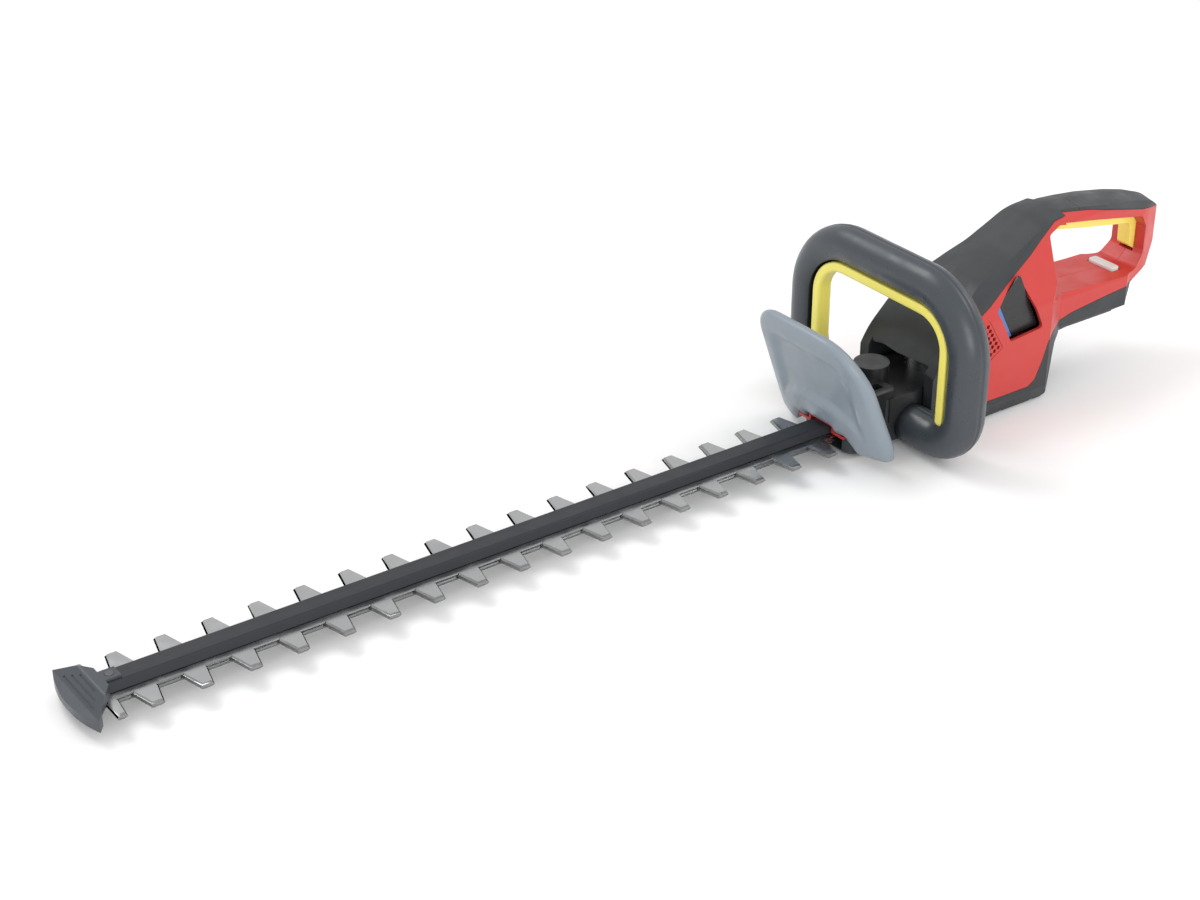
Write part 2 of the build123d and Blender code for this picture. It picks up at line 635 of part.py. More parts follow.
def front_section(inset):
    """Y-Z outline of the wide body: upright below, drawn in above."""
    right = [(body_base_half, 0), (body_half - 1, 12), (body_half - 1, 84), (20.0, 148), (12.0, 153)]
    points = right + [(-y, z) for y, z in reversed(right)]
    return offset(outline(points, [1.5, 3, 12, 3, 2, 2, 3, 12, 3, 1.5]), -inset) if inset else outline(
        points, [1.5, 3, 12, 3, 2, 2, 3, 12, 3, 1.5])


def rear_section(inset):
    """Y-Z outline of the arm, post and grip."""
    right = [(24.0, 44), (27.0, 50), (27.0, 74), (22.0, 88), (20.0, 112), (20.0, 137), (11.0, 152)]
    points = right + [(-y, z) for y, z in reversed(right)]
    radii = [2, 2, 5, 5, 4, 6, 4]
    face = outline(points, radii + radii[::-1])
    return offset(face, -inset) if inset else face


def flowing(points, most):
    """Corner radii as large as the neighbouring edges allow, up to a limit, for a smooth run of points."""
    radii = []
    for a, b, c in zip(points[-1:] + points[:-1], points, points[1:] + points[:1]):
        turn = atan2(b[1] - a[1], b[0] - a[0]) - atan2(c[1] - b[1], c[0] - b[0])
        turn = abs((turn + pi) % (2 * pi) - pi)
        room = 0.46 * min(dist(a, b), dist(b, c))
        radii.append(min(most, room / tan(turn / 2)) if turn > 0.01 else 1.0)
    return radii


def body_side():
    """X-Z outline of the body, drawn 2 mm high over the back, where the crown takes over."""
    points = [(x, z + 2.0) if 2 <= k <= 13 else (x, z) for k, (x, z) in enumerate(body_profile)]
    return outline(points, [max(r, 1.2) if 2 <= k <= 14 else 1.2 for k, r in enumerate(flowing(points, 60.0))])


def body_solid(inset):
    """The whole outer form, or the same form drawn in by a wall."""
    side, hole = body_side(), outline(hole_profile, [3, 3, 3, 3, 5, 5, 7, 7, 3, 3])
    side = offset(side, -inset) - offset(hole, inset) if inset else side - hole
    solid = prism_xz(side, -60, 60)
    wide_plan = [(0, 60), (step_x, 60), (step_x, body_half - 1.5), (-243, 26.5), (-243, -26.5),
                 (step_x, 1.5 - body_half), (step_x, -60), (0, -60)]
    tail_side = [(-150, 60), (-300, 60), (-316, 25.5), (-346, 17.0), (-362, 11.0), (-373, 2.0)]
    tail_plan = tail_side + [(x, -y) for x, y in reversed(tail_side)]
    tail_radii = [1, 1, 25, 20, 10, 0.8]
    wide_plan = outline(wide_plan, [1, 1, 0.5, 0.5, 0.5, 0.5, 1, 1])
    tail_plan = outline(tail_plan, tail_radii + tail_radii[::-1])
    if inset:
        wide_plan, tail_plan = offset(wide_plan, -inset), offset(tail_plan, -inset)
    wide = prism_yz(front_section(inset), -260, 0) & prism_xy(wide_plan, -10, 200)
    narrow = prism_yz(rear_section(inset), -400, step_x + 12) & prism_xy(tail_plan, -10, 200)
    return solid & (wide + narrow)


def crown():
    """Everything under the roof: gently ridged, with a steep facet down each side to the red covers."""
    slopes = ((0.2, 0.0, lambda x: 0.0), (1.1, 1.5, lambda x: 32.6 + 0.057 * x + max(0.0, 0.9 * (x + 134.0))))
    half = None
    for slope, extra, rise in slopes:
        over = [(-88 + extra, 54)] + body_profile[2:14] + [(-369.5, 117.2), (-372 - extra, 60)]
        points = [(-88 + extra, -120)] + [(x, z + rise(x)) for x, z in over] + [(-372 - extra, -120)]
        face = Plane.XZ * outline(points, [max(r, 1.0) for r in flowing(points, 60.0)])
        side = extrude(face, amount=64 + extra, dir=(0, 1, -slope))
        half = side if half is None else half & side
    return half + mirrored(half)


def regions():
    """X-Z faces for what lies above the black line and below the lower line."""
    above = [(-60, 16.5), (-126, 16.5), (-128, 62)] + black_line + [(-380, 200), (-60, 200)]
    below = [(-60, 16.5)] + lower_line + [(-380, -20), (-60, -20)]
    return make_face(Polyline(*above, close=True)), make_face(Polyline(*below, close=True))


def body_covers():
    """All the plastic covers, cut from one hollow form along their seams."""
    roof = crown()
    outer = body_solid(0) & roof
    shell = outer - (body_solid(wall) & Pos(0, 0, -1.2 * wall) * roof)
    shell -= block(-95.5, -80, -32.4, 32.4, 1, 60.4) + block(-120, -80, -30.4, 30.4, 1, 18)
    trigger_room = [(-232, 118), (-232, 145.4), (-284, 139), (-344, 127.5), (-358.4, 113), (-358.4, 84.2), (-340, 84.2)]
    shell -= prism_xz(make_face(Polyline(*trigger_room, close=True)), -7.1, 7.1)
    shell -= cross_rod(loop_x, loop_base_z, -60, 60, loop_radius + 0.4) + block(-95.8, -80, -60, 60, -1, loop_base_z)
    shell -= block(-323.1, -312.9, -14.1, 14.1, 66, 90) + block(-250, -212, -16.3, 16.3, 17.2, 36.8)
    top_face, low_face = regions()
    bosses = None
    for x, z, half in cover_boss_spots:
        boss = cross_rod(x, z, -60, 60, 4.0)
        bosses = boss if bosses is None else bosses + boss
    for x, y in housing_screw_spots:
        bosses += post(x, y, 0, 30, 4.5)
    shell += bosses & outer
    for x, z, half in cover_boss_spots:
        shell -= cross_rod(x, z, -60, min(12, half - 4), 1.75) + cross_rod(x, z, -60, 4.0 - half, 3.3)
    for x, y in housing_screw_spots:
        shell -= post(x, y, -1, 26, 1.75) + post(x, y, -1, 3, 3.3)
    for way in (1, -1):
        for recess in (vent_recess(), badge_recess()):
            shell -= recess if way == 1 else mirrored(recess)
    top = shell & prism_xz(offset(top_face, -seam), -60, 60)
    low = shell & prism_xz(offset(low_face, -seam), -60, 60)
    red = shell - prism_xz(offset(top_face, seam), -60, 60) - prism_xz(offset(low_face, seam), -60, 60)
    pin_hole = cross_rod(trigger_pin_x, trigger_pin_z, -11.5, 11.5, 2.0)
    left = (red & block(-400, -60, seam, 60, -20, 200)) + trigger_lug(1) - pin_hole
    right = (red & block(-400, -60, -60, -seam, -20, 200)) + trigger_lug(-1) - pin_hole
    front_top = top & block(cap_seam_x + seam, 0, -60, 60, 0, 200)
    cap = top & block(-400, cap_seam_x - seam, -60, 60, 0, 200)
    return left, right, front_top, cap, low


vent_corners = [(-131, 78), (-148, 88), (-165, 60), (-148, 50)]
badge_corners = [(-183, 116), (-158, 91), (-173, 63), (-208, 66)]


def side_plate(corners, y_low, y_high, r):
    return prism_xz(outline(corners, r), y_low, y_high)


def vent_recess():
    return side_plate(vent_corners, body_half - 3.0, body_half + 10, 2.0) + prism_xz(
        offset(outline(vent_corners, 3.5), -2.5), 30, body_half + 10)


def badge_recess():
    return side_plate(badge_corners, body_half - 8.5, body_half + 10, 2.5)


def vent_grilles():
    """A thin insert pierced by a lattice of diamond holes, glued into each side."""
    plate = prism_xz(offset(outline(vent_corners, 2.0), -seam), body_half - 2.9, body_half - 0.6)
    plate &= prism_yz(front_section(0.3), -200, 0)
    (x0, z0), (x1, z1), (x2, z2) = vent_corners[:3]
    wide, tall = dist((x0, z0), (x1, z1)), dist((x1, z1), (x2, z2))
    across, down = ((x0 - x1) / wide, (z0 - z1) / wide), ((x2 - x1) / tall, (z2 - z1) / tall)
    for row in range(6):
        for k in range(4):
            a, d = 3.5 + 4.3 * k, 4.2 + 4.9 * row
            spot = Pos(x1 + across[0] * a + down[0] * d, 0, z1 + across[1] * a + down[1] * d)
            plate -= spot * Rot(0, degrees(atan2(-down[1], down[0])) + 45, 0) * Box(2.9, 200, 2.9)
    return Compound(children=[plate, mirrored(plate)])


def badge_plate():
    return prism_xz(offset(outline(badge_corners, 2.5), -seam), body_half - 8.4, body_half - 7.2)


def stripe_band(width):
    """The band along the badge's front edge, as an X-Z face."""
    (x0, z0), (x1, z1) = badge_corners[1], badge_corners[2]
    x0, z0, x1, z1 = x0 + 0.3 * (x0 - x1), z0 + 0.3 * (z0 - z1), x1 - 0.3 * (x0 - x1), z1 - 0.3 * (z0 - z1)
    return make_face(Polyline((x0 + 9, z0), (x1 + 9, z1), (x1 - width, z1), (x0 - width, z0), close=True))


def badges():
    """A blank plate in the shallow recess on each side, short of the coloured stripe."""
    plate = badge_plate() - prism_xz(stripe_band(7.2), 0, 60)
    return Compound(children=[plate, mirrored(plate)])


def badge_stripes():
    stripe = badge_plate() & prism_xz(stripe_band(7.0), 0, 60)
    return Compound(children=[stripe, mirrored(stripe)])


def grip_trigger():
    """The rear switch lever: a strip along the grip's underside and a leg down to its pin."""
    side = outline(
        [(-235, 121.5), (-235, 138.8), (-280, 133.5), (-342, 124.3), (-349.5, 106), (-357, 99), (-357, 86),
         (-344, 86), (-338.5, 90.0), (-337.5, 110.0), (-276, 120.8), (-247, 126.8)],
        [2, 3, 3, 6, 6, 4, 4, 2, 3, 5, 8, 6],
    )
    lever = prism_xz(side, -trigger_half, trigger_half)
    return lever - cross_rod(trigger_pin_x, trigger_pin_z, -20, 20, 2.06)


def trigger_pin():
    return cross_rod(trigger_pin_x, trigger_pin_z, -11.4, 11.4, 2.0)


def trigger_lug(way):
    """The ear in the rear post that holds one end of the trigger's pin."""
    ends = sorted((way * (trigger_half + 0.7), way * 13.2))
    return cross_rod(trigger_pin_x, trigger_pin_z, *ends, 5.0)


def grip_switch():
    """A snap switch in the rear post, its plunger facing the trigger's leg."""
    body = block(-361.2, -353.4, -3.4, 3.4, 104, 117) + long_rod(-353.4, -350.0, 0, 110, 1.2)
    for z in (107, 114):
        body -= cross_rod(-358.5, z, -20, 20, 1.1)
    return body


def trigger_spring():
    return coil(-300.0, 0, 131.4, 138.4, 3.4, 0.5, 4)


def power_button():
    """The on-off key across the arm's top, with a stem down to its switch."""
    cap = block(-322.7, -313.3, -13.7, 13.7, 72.9, 78.1)
    cap = fillet(cap.edges().filter_by(Axis.Z), 3.0)
    cap = fillet(cap.faces().sort_by(Axis.Z)[-1].edges(), 1.2)
    skirt = block(-324.4, -311.6, -15.2, 15.2, 69.3, 70.9) + block(-322, -314, -12, 12, 69.9, 73.5)
    return cap + skirt + post(-318, 0, 68.1, 70.5, 2.0)


def button_board():
    """A small board under the power key, with its switch."""
    board = block(-321.8, -308, -14.5, 14.5, 62.9, 64.5) + block(-321.5, -314.5, -4, 4, 64.5, 66.8)
    return board - post(-318, 11.5, 50, 80, 1.0) - post(-318, -11.5, 50, 80, 1.0)


def control_board():
    """Motor drive board standing across the body, its capacitors facing the motor."""
    back, face = -174.0, -172.4
    board = block(back, face, -28, 28, 32, 84)
    for y in (-16, 0, 16):
        board += long_rod(face, face + 9, y, 42, 4.5)
    for y in (-18, -6, 6, 18):
        board += block(face, face + 3, y - 4, y + 4, 54, 66)
    return board + block(face, face + 2.2, -7, 7, 71, 78)


def heat_sink():
    sink = block(-178.5, -174.0, -24, 24, 50, 80)
    for k in range(9):
        y = -22 + 5.5 * k
        sink += block(-185.5, -178.5, y - 0.9, y + 0.9, 50, 80)
    return sink


def terminal_block():
    """The battery's plug, through a window in the housing's rear wall, slotted for five blades."""
    body = block(-221.9, -218.5, -19, 19, 15.5, 38.5) + block(-240, -221.9, -16, 16, 17.5, 21)
    body += block(-232, -221.9, -16, 16, 21, 36.5)
    for k in range(5):
        body -= block(-250, -210, 6.2 * (k - 2) - 0.4, 6.2 * (k - 2) + 0.4, 24, 34)
    return body


def terminals():
    blades = []
    for k in range(5):
        blades.append(block(-240, -216, 6.2 * (k - 2) - 0.4, 6.2 * (k - 2) + 0.4, 24, 34))
    return Compound(children=blades)


def battery_rails():
    """Two L rails on the arm's underside that a battery's grooves run on."""
    rails = []
    for way in (1, -1):
        rail = block(-312, -262, 12, 19, 42.4, 44.2) + block(-312, -262, 12, 15.5, 44.2, 47.9)
        rails.append(rail if way == 1 else mirrored(rail))
    return Compound(children=rails)


def cover_screws():
    screws = []
    for x, z, half in cover_boss_spots:
        screws.append(cross_rod(x, z, 1.8 - half, 4.0 - half, 3.0) + cross_rod(x, z, 4.0 - half, min(11, half - 5), 1.7))
    return Compound(children=screws)


def housing_screws():
    screws = []
    for x, y in housing_screw_spots:
        screws.append(post(x, y, 1.0, 3.0, 3.0) + post(x, y, 3.0, 25, 1.7))
    return Compound(children=screws)


def motor_screws():
    """Four screws through the can's floor into the gear case's roof."""
    screws = []
    for k in range(4):
        spot = Pos(motor_x, 0, 0) * Rot(0, 0, 90 * k + 45) * Pos(10, 0, 0)
        screw = Pos(0, 0, motor_low_z + 3.9) * Cylinder(2.2, 1.8) + Pos(0, 0, motor_low_z + 0.2) * Cylinder(1.2, 5.6)
        screws.append(spot * screw)
    return Compound(children=screws)


def tip_screw():
    head = post(tip_screw_x, 0, tip_top_z - 0.9, tip_top_z + 0.4, 3.0)
    return head + post(tip_screw_x, 0, bar_z + 2.6, tip_top_z - 0.9, 1.6)


# ---------------------------------------------------------------- build and export
def main():
    os.makedirs("parts", exist_ok=True)
    loop_front, loop_rear = loop_shells()
    left, right, front_top, cap, low = body_covers()
    pieces = {
        "upper_blade": blade(upper_z, True), "lower_blade": blade(lower_z, False), "guide_bar": guide_bar(),
        "blade_bolts": blade_bolts(), "blade_washers": blade_washers(), "tip_protector": tip_protector(),
        "tip_screw": tip_screw(), "bridge_plate": bridge_plate(), "bar_screws": bar_screws(),
        "crank_gear": crank_gear(), "crankshaft": crankshaft(), "crank_bearings": crank_bearings(),
        "idler_gear": idler_gear(), "idler_pin": idler_pin(), "motor_pinion": motor_pinion(),
        "motor_rotor": motor_rotor(), "cooling_fan": cooling_fan(), "motor_can": motor_can(),
        "motor_stator": motor_stator(), "motor_windings": motor_windings(), "motor_bearings": motor_bearings(),
        "motor_end_cap": motor_end_cap(), "motor_screws": motor_screws(), "gear_case": gear_case(),
        "gear_case_base": gear_case_base(), "case_screws": case_screws(), "blade_pan": blade_pan(),
        "pan_screws": pan_screws(), "hand_shield": shield(), "shield_screws": shield_screws(),
        "loop_front": loop_front, "loop_rear": loop_rear, "loop_clamp_screws": loop_clamp_screws(),
        "loop_mount_screws": loop_mount_screws(), "switch_bail": bail(), "bail_springs": bail_springs(),
        "bail_switch": bail_switch(), "left_cover": left, "right_cover": right, "top_cover": front_top,
        "handle_cap": cap, "lower_housing": low, "vent_grilles": vent_grilles(), "badges": badges(),
        "badge_stripes": badge_stripes(), "grip_trigger": grip_trigger(), "trigger_pin": trigger_pin(),
        "trigger_spring": trigger_spring(), "grip_switch": grip_switch(), "power_button": power_button(),
        "button_board": button_board(), "control_board": control_board(), "heat_sink": heat_sink(),
        "terminal_block": terminal_block(), "terminals": terminals(), "battery_rails": battery_rails(),
        "cover_screws": cover_screws(), "housing_screws": housing_screws(),
    }
    for name, shape in pieces.items():
        save(name, shape)


main()
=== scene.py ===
"""Looks for the cordless hedge trimmer, in metres and the CAD frame.

+X is forward, +Y the machine's left and +Z up.
"""

import json
import math

import bmesh
import bpy
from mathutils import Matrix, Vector

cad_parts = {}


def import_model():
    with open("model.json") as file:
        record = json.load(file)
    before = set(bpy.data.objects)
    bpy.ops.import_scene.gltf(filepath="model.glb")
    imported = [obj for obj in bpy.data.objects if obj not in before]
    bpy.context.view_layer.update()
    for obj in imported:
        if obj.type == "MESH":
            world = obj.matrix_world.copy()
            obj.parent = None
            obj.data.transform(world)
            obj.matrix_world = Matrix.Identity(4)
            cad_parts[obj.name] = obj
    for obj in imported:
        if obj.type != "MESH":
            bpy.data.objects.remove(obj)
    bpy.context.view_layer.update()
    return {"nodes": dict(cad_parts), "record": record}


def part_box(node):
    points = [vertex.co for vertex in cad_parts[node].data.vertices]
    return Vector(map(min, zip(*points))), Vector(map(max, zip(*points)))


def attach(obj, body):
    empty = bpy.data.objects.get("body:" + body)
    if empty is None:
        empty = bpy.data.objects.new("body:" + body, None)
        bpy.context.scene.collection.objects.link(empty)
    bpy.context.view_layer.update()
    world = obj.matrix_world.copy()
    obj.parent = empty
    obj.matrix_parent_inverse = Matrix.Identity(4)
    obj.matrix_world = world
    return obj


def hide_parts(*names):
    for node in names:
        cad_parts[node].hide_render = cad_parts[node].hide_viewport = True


MM = 0.001
CAMERA_POS = (0.9204, 1.1857, 0.8648)
CAMERA_BACK = (0.51047, 0.71268, 0.48114)
CAMERA_LENS = 69.94

# millimetres along X from the plane the pieces below are measured from
BAR_TAIL = 40
HOOP_X = -80.0
BAIL_X = -76.0
SHIELD_X = -22.0

# millimetres up from the ground
SHIELD_FOOT_Z = 6.0
BAIL_FOOT_Z = 33.0

WORLD_STRENGTH = 0.85
FLOOR_HALF = 8.0
FLOOR_DROP = 0.0004
LIGHT_TARGET = (0, 0, 0.05)

# clean-up of the CAD nodes: millimetres, then degrees
WELD_GAP = 0.002
PIECE_WELD_GAP = 0.01
FLAT_ANGLE = 0.6
BEVEL_ANGLE = 28
BEVEL_WIDTH = 0.35
COVER_BEVEL_WIDTH = 0.7

# linear colours
RED = (0.56, 0.042, 0.036)
BLACK = (0.030, 0.034, 0.038)
CASTING = (0.011, 0.012, 0.013)
SLATE = (0.046, 0.054, 0.064)
YELLOW = (0.93, 0.83, 0.17)
SHIELD = (0.235, 0.275, 0.315)
BAR = (0.019, 0.022, 0.026)
STEEL = (0.47, 0.475, 0.48)
DARK_STEEL = (0.06, 0.06, 0.065)


# ---------------------------------------------------------------- materials
def ramp(tree, value, low, high, a=0.35, b=0.65):
    """The value's middle stretch mapped on to low..high."""
    node = tree.nodes.new("ShaderNodeMapRange")
    node.inputs["From Min"].default_value = a
    node.inputs["From Max"].default_value = b
    node.inputs["To Min"].default_value = low
    node.inputs["To Max"].default_value = high
    tree.links.new(value, node.inputs["Value"])
    return node.outputs["Result"]


def noise(tree, coords, scale, detail=3.0, stretch=(1, 1, 1)):
    """Noise in the object's own coordinates; scale is features per metre."""
    mapping = tree.nodes.new("ShaderNodeMapping")
    mapping.inputs["Scale"].default_value = stretch
    node = tree.nodes.new("ShaderNodeTexNoise")
    node.inputs["Scale"].default_value = scale
    node.inputs["Detail"].default_value = detail
    tree.links.new(coords, mapping.inputs["Vector"])
    tree.links.new(mapping.outputs["Vector"], node.inputs["Vector"])
    return node.outputs["Fac"]


def mix_colour(tree, factor, a, b):
    """A mix of two colours, each a tuple or a socket."""
    node = tree.nodes.new("ShaderNodeMix")
    node.data_type = "RGBA"
    tree.links.new(factor, node.inputs["Factor"])
    for name, colour in (("A", a), ("B", b)):
        socket = next(s for s in node.inputs if s.name == name and s.type == "RGBA")
        if isinstance(colour, tuple):
            socket.default_value = (*colour, 1)
        else:
            tree.links.new(colour, socket)
    return next(s for s in node.outputs if s.type == "RGBA")


def shaded(colour, k):
    return tuple(min(1.0, c * k) for c in colour)


def material(
    name, colour, rough, metal=0.0, vary=0.12, grain=1400, grain_depth=0.02,
    stretch=(1, 1, 1), wear=None, coat=0.0, specular=0.5,
):
    """A procedural finish: mottled colour, uneven gloss, fine grain, and worn edges where asked."""
    mat = bpy.data.materials.new(name)
    mat.use_nodes = True
    tree = mat.node_tree
    shader = tree.nodes["Principled BSDF"]
    shader.inputs["Base Color"].default_value = (*colour, 1)
    shader.inputs["Roughness"].default_value = rough
    shader.inputs["Metallic"].default_value = metal
    shader.inputs["Coat Weight"].default_value = coat
    shader.inputs["Coat Roughness"].default_value = 0.15
    shader.inputs["Specular IOR Level"].default_value = specular
    coords = tree.nodes.new("ShaderNodeTexCoord").outputs["Object"]
    mottle = noise(tree, coords, 26, 4.0)
    tint = mix_colour(tree, mottle, shaded(colour, 1 - vary), shaded(colour, 1 + vary))
    if wear:
        pointy = tree.nodes.new("ShaderNodeNewGeometry").outputs["Pointiness"]
        tint = mix_colour(tree, ramp(tree, pointy, 0, 0.8, 0.52, 0.60), tint, wear)
    tree.links.new(tint, shader.inputs["Base Color"])
    gloss = noise(tree, coords, 60, 5.0)
    patchy = ramp(tree, gloss, max(0.05, rough - 0.07), min(1, rough + 0.09))
    tree.links.new(patchy, shader.inputs["Roughness"])
    bump = tree.nodes.new("ShaderNodeBump")
    bump.inputs["Strength"].default_value = 0.6
    bump.inputs["Distance"].default_value = grain_depth * MM
    tree.links.new(noise(tree, coords, grain, 2.0, stretch), bump.inputs["Height"])
    tree.links.new(bump.outputs["Normal"], shader.inputs["Normal"])
    return mat


def make_materials():
    """One finish for each of the record's material slots."""
    brushed = dict(metal=1.0, grain=220, grain_depth=0.012)
    return {
        "blade_steel": material("blade_steel", STEEL, 0.22, stretch=(1, 14, 14), **brushed),
        "bar_alloy": material(
            "bar_alloy", BAR, 0.45, grain=2600, grain_depth=0.02, wear=(0.05, 0.053, 0.06), specular=0.3
        ),
        "bright_steel": material(
            "bright_steel", (0.60, 0.60, 0.61), 0.25, stretch=(12, 12, 1), **brushed
        ),
        "dark_steel": material("dark_steel", DARK_STEEL, 0.38, metal=0.6, wear=(0.25, 0.25, 0.26)),
        "cast_alloy": material(
            "cast_alloy", CASTING, 0.40, grain=900, grain_depth=0.06, wear=(0.030, 0.032, 0.034)
        ),
        "red_plate": material("red_plate", (0.50, 0.03, 0.03), 0.30, coat=0.4),
        "red_shell": material(
            "red_shell", RED, 0.36, vary=0.05, grain=1800, grain_depth=0.012
        ),
        "black_shell": material("black_shell", BLACK, 0.46, grain=1500, grain_depth=0.045),
        "slate_grip": material("slate_grip", SLATE, 0.32, grain=1500, grain_depth=0.03),
        "yellow_switch": material(
            "yellow_switch", YELLOW, 0.38, vary=0.04, grain=1800, grain_depth=0.015
        ),
        "shield_grey": material(
            "shield_grey", SHIELD, 0.36, vary=0.05, grain=1800, grain_depth=0.012
        ),
        "button_white": material("button_white", (0.68, 0.72, 0.72), 0.40, vary=0.04),
        "badge_black": material(
            "badge_black", (0.012, 0.013, 0.015), 0.22, vary=0.05, grain_depth=0.004
        ),
        "stripe_blue": material(
            "stripe_blue", (0.08, 0.20, 0.50), 0.25, vary=0.05, grain_depth=0.004
        ),
        "copper_wire": material("copper_wire", (0.62, 0.25, 0.10), 0.30, metal=1.0),
        "contact_brass": material("contact_brass", (0.80, 0.58, 0.25), 0.25, metal=1.0),
        "board_green": material("board_green", (0.02, 0.15, 0.05), 0.35),
        "switch_black": material("switch_black", (0.015, 0.015, 0.017), 0.45),
        "gear_steel": material("gear_steel", (0.42, 0.42, 0.43), 0.30, **brushed),
    }


# ---------------------------------------------------------------- CAD nodes
def dress_node(obj, finish, bevel):
    """Finish and softened edges for a CAD node that stays."""
    obj.data.materials.clear()
    obj.data.materials.append(finish)
    weld = obj.modifiers.new("weld", "WELD")
    weld.merge_threshold = WELD_GAP * MM
    flat = obj.modifiers.new("flat_faces", "DECIMATE")
    flat.decimate_type = "DISSOLVE"
    flat.angle_limit = math.radians(FLAT_ANGLE)
    if bevel:
        soft = obj.modifiers.new("soft_edges", "BEVEL")
        soft.width = bevel * MM
        soft.segments = 2
        soft.limit_method = "ANGLE"
        soft.angle_limit = math.radians(BEVEL_ANGLE)
        soft.harden_normals = False
        soft.use_clamp_overlap = True
    for poly in obj.data.polygons:
        poly.use_smooth = True
    even = obj.modifiers.new("even_shading", "WEIGHTED_NORMAL")
    even.keep_sharp = False
    even.weight = 80


# ---------------------------------------------------------------- mesh pieces
def rounded(corners, radii, steps=8):
    """The closed outline through the corners, each rounded to its own radius."""
    out = []
    n = len(corners)
    for i, (corner, r) in enumerate(zip(corners, radii)):
        p = Vector(corner)
        a = (Vector(corners[i - 1]) - p).normalized()
        b = (Vector(corners[(i + 1) % n]) - p).normalized()
        half = a.angle(b) / 2
        centre = p + (a + b).normalized() * (r / math.sin(half))
        start, end = p + a * (r / math.tan(half)), p + b * (r / math.tan(half))
        for k in range(steps + 1):
            d = (start - centre).lerp(end - centre, k / steps)
            out.append(centre + d.normalized() * r)
    return out


def resampled(outline, count):
    """count points at equal distances round a closed outline."""
    lengths = [(outline[i] - outline[i - 1]).length for i in range(len(outline))]
    total, out, i, gone = sum(lengths), [], 1, 0.0
    for k in range(count):
        want = total * k / count
        while gone + lengths[i % len(outline)] < want:
            gone += lengths[i % len(outline)]
            i += 1
        share = (want - gone) / max(lengths[i % len(outline)], 1e-9)
        out.append(outline[(i - 1) % len(outline)].lerp(outline[i % len(outline)], share))
    return out


def smoothstep(value, low, high):
    t = min(1.0, max(0.0, (value - low) / (high - low)))
    return t * t * (3 - 2 * t)


def new_piece(name, verts, faces, finish, body, replaced):
    mesh = bpy.data.meshes.new(name)
    mesh.from_pydata([tuple(v) for v in verts], [], faces)
    work = bmesh.new()
    work.from_mesh(mesh)
    bmesh.ops.remove_doubles(work, verts=work.verts, dist=PIECE_WELD_GAP * MM)
    bmesh.ops.recalc_face_normals(work, faces=work.faces)
    work.to_mesh(mesh)
    work.free()
    for poly in mesh.polygons:
        poly.use_smooth = True
    obj = bpy.data.objects.new(name, mesh)
    obj.data.materials.append(finish)
    bpy.context.scene.collection.objects.link(obj)
    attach(obj, body)
    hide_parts(*replaced)
    return obj


def loft(rings):
    """Quads between equal rings of points, with a fan over each end."""
    n = len(rings[0])
    verts = [p for ring in rings for p in ring]
    faces = []
    for i in range(len(rings) - 1):
        j = i + 1
        for k in range(n):
            m = (k + 1) % n
            faces.append((i * n + k, i * n + m, j * n + m, j * n + k))
    for base, ring in ((0, rings[0]), ((len(rings) - 1) * n, rings[-1])):
        middle = sum(ring, Vector()) / n
        verts.append(middle)
        faces.extend((base + k, base + (k + 1) % n, len(verts) - 1) for k in range(n))
    return verts, faces


def shield_piece(zero_x, finish):
    """The hand shield: a leaning sheet bowed back at the sides, with a fat round rim and a sunk middle."""
    right = [
        (15.0, 26.0), (17.0, 20.7), (28.0, 20.7), (36.0, 7.2), (60.5, 7.2), (63.5, 21.0), (60.0, 106.0),
    ]
    corners = [(0.0, 109.5)] + [(-y, z) for y, z in reversed(right)] + right
    radii = [1, 1, 1, 2, 4, 10, 42]
    edge = resampled(rounded(corners, [300, 26] + radii[-2::-1] + radii), 240)
    centre = Vector((0.0, 62.0))

    def depth(p):
        return min((p - q).length for q in edge)

    def middle_x(y, z):
        share = (z - SHIELD_FOOT_Z) / 110.0
        return SHIELD_X + 28.0 * share - (17.0 - 15.0 * share) * (y / 63.0) ** 2

    def half_thickness(d):
        rim, panel, blunt = 5.8, 1.3, 6.0
        round_off = math.sqrt(max(0.0, 1 - (1 - min(d, blunt) / blunt) ** 2))
        return round_off * (rim + (panel - rim) * smoothstep(d, 15.0, 25.0))

    shares = [1 - (1 - k / 26) ** 1.7 for k in range(1, 27)]
    rings = []
    for side in (1, -1):
        for t in shares if side > 0 else reversed(shares[:-1]):
            ring = []
            for q in edge:
                p = centre.lerp(q, t)
                x = middle_x(p.x, p.y) + side * half_thickness(depth(p))
                ring.append(Vector((zero_x + x * MM, p.x * MM, p.y * MM)))
            rings.append(ring)
    verts, faces = loft(rings)
    return new_piece("shield_moulding", verts, faces, finish, "chassis", ("hand_shield",))


def hoop_frames(half, low, high, small, big, end, steps=14):
    """Points and inward normals, in Y and Z, along a centre line from the left foot to the right."""
    frames = [(Vector((y, low)), Vector((0, 1))) for y in (end, end + 8, half - small - 1)]
    for centre, r, first in (((half - small, low + small), small, -90), ((half - big, high - big), big, 0)):
        for k in range(steps + 1):
            a = math.radians(first + 90 * k / steps)
            out = Vector((math.cos(a), math.sin(a)))
            frames.append((Vector(centre) + out * r, -out))
        if first < 0:
            frames.extend((Vector((half, z)), Vector((-1, 0))) for z in (low + small + 12, high - big - 12))
    frames.append((Vector((20, high)), Vector((0, -1))))
    return frames + [(Vector((-p.x, p.y)), Vector((-n.x, n.y))) for p, n in reversed(frames)]


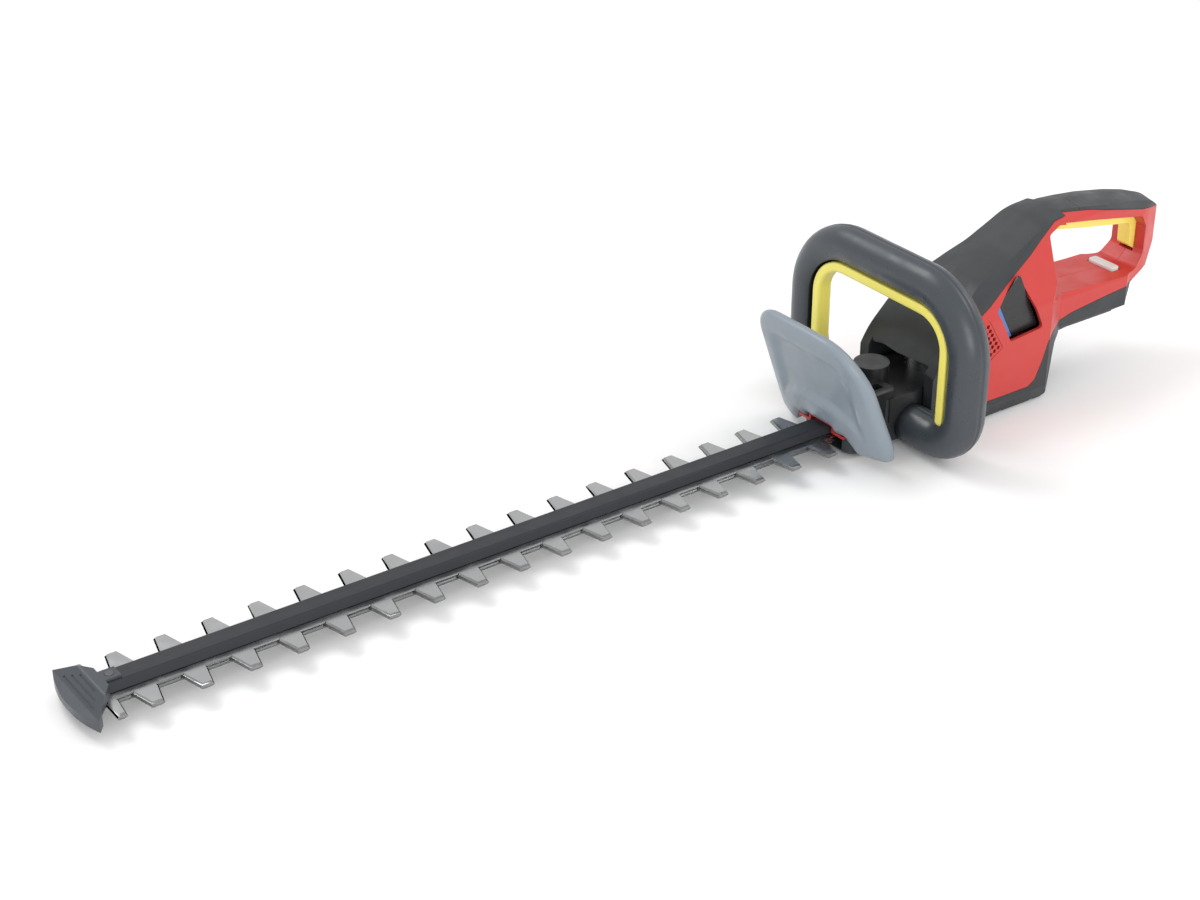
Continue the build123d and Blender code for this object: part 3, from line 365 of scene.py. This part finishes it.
def hoop_piece(zero_x, finish):
    """The hoop as moulded: a round tube with seam lines and the bail's channel on its inner front."""
    r, seams, channel = 15.4, (90, 270), (-3.4, 11.4)
    rings = []
    for p, n in hoop_frames(half=90.0, low=17.0, high=138.0, small=30.0, big=50.0, end=32.3):
        open_here = smoothstep(p.y, 27.0, 31.0)
        ring = []
        for k in range(120):
            a = math.radians(3.0 * k)
            near = min(abs((3.0 * k - s + 180) % 360 - 180) for s in seams)
            radius = r - 0.7 * smoothstep(6.0 - near, 0, 3.5)
            x, inward = radius * math.cos(a), radius * math.sin(a)
            if channel[0] < x < channel[1] and inward > 0:
                wall = smoothstep(min(x - channel[0], channel[1] - x), 0, 0.5)
                inward -= open_here * wall * max(0.0, inward - 6.2)
            spot = p + n * inward
            ring.append(Vector((zero_x + (HOOP_X + x) * MM, spot.x * MM, spot.y * MM)))
        rings.append(ring)
    verts, faces = loft(rings)
    halves = ("loop_front", "loop_rear")
    return new_piece("hoop_moulding", verts, faces, finish, "chassis", halves)


def bail_piece(zero_x, finish):
    """The yellow bail: a softly rounded strip round the hoop's inside."""
    wide, deep, foot, half = 7.0, 4.25, BAIL_FOOT_Z, 72.25
    section = rounded([(-wide, -deep), (wide, -deep), (wide, deep), (-wide, deep)], [1.5, 1.5, 3.0, 4.0], 6)
    around = hoop_frames(half, low=15.0, high=120.25, small=1.0, big=28.25, end=32.3)
    frames = [f for f in around if f[0].y > foot + 1]
    left, right = Vector((half, foot)), Vector((-half, foot))
    ends = [(left + Vector((0, z)), Vector((-1, 0)), k) for z, k in ((0, 0.55), (1.2, 0.85), (3.5, 1.0))]
    others = [(right + Vector((0, z)), Vector((1, 0)), k) for z, k in ((3.5, 1.0), (1.2, 0.85), (0, 0.55))]
    rings = []
    for p, n, k in ends + [(p, n, 1.0) for p, n in frames if p.y > foot + 4] + others:
        ring = []
        for q in section:
            spot = p + n * q.y * k
            ring.append(Vector((zero_x + (BAIL_X + q.x * k) * MM, spot.x * MM, spot.y * MM)))
        rings.append(ring)
    verts, faces = loft(rings)
    return new_piece("bail_moulding", verts, faces, finish, "bail", ("switch_bail",))


# ---------------------------------------------------------------- stage
def area_light(name, pos, target, size, power):
    data = bpy.data.lights.new(name, "AREA")
    data.shape = "RECTANGLE"
    data.size, data.size_y = size
    data.energy = power
    lamp = bpy.data.objects.new(name, data)
    lamp.location = pos
    lamp.rotation_euler = (Vector(target) - Vector(pos)).to_track_quat("-Z", "Y").to_euler()
    bpy.context.scene.collection.objects.link(lamp)


def make_stage():
    scene = bpy.context.scene
    scene.view_settings.view_transform = "Standard"
    world = bpy.data.worlds.new("studio")
    world.use_nodes = True
    world.node_tree.nodes["Background"].inputs["Color"].default_value = (1, 1, 1, 1)
    world.node_tree.nodes["Background"].inputs["Strength"].default_value = WORLD_STRENGTH
    scene.world = world
    area_light("key", (0.6, -1.6, 2.4), LIGHT_TARGET, (1.4, 1.4), 26)
    area_light("fill", (0.9, 2.4, 1.0), LIGHT_TARGET, (1.2, 1.0), 24)
    area_light("rear", (-1.9, 0.6, 1.6), (-0.2, 0, 0.1), (1.2, 1.2), 10)

    mesh = bpy.data.meshes.new("floor")
    half = FLOOR_HALF
    corners = [(-half, -half, 0), (half, -half, 0), (half, half, 0), (-half, half, 0)]
    mesh.from_pydata(corners, [], [(0, 1, 2, 3)])
    floor = bpy.data.objects.new("floor", mesh)
    floor.location.z = -FLOOR_DROP
    white = material("floor_white", (0.93, 0.93, 0.93), 0.8, vary=0.005, grain=300)
    floor.data.materials.append(white)
    scene.collection.objects.link(floor)

    data = bpy.data.cameras.new("camera")
    data.lens = CAMERA_LENS
    camera = bpy.data.objects.new("camera", data)
    camera.location = CAMERA_POS
    camera.rotation_euler = (-Vector(CAMERA_BACK)).to_track_quat("-Z", "Y").to_euler()
    scene.collection.objects.link(camera)
    scene.camera = camera


def main():
    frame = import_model()
    finishes = make_materials()
    covers = ("left_cover", "right_cover", "top_cover", "handle_cap", "lower_housing")
    bevels = dict.fromkeys(covers, COVER_BEVEL_WIDTH)
    bevels.update(upper_blade=0.0, lower_blade=0.0, badges=0.15, badge_stripes=0.15, grip_trigger=1.4)
    slots = {s["node"]: s["material_slot"] for s in frame["record"]["subparts"]}
    for node, obj in frame["nodes"].items():
        dress_node(obj, finishes[slots[node]], bevels.get(node, BEVEL_WIDTH))
    zero_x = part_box("guide_bar")[0].x + BAR_TAIL * MM
    shield_piece(zero_x, finishes["shield_grey"])
    hoop_piece(zero_x, finishes["slate_grip"])
    bail_piece(zero_x, finishes["yellow_switch"])
    make_stage()


main()
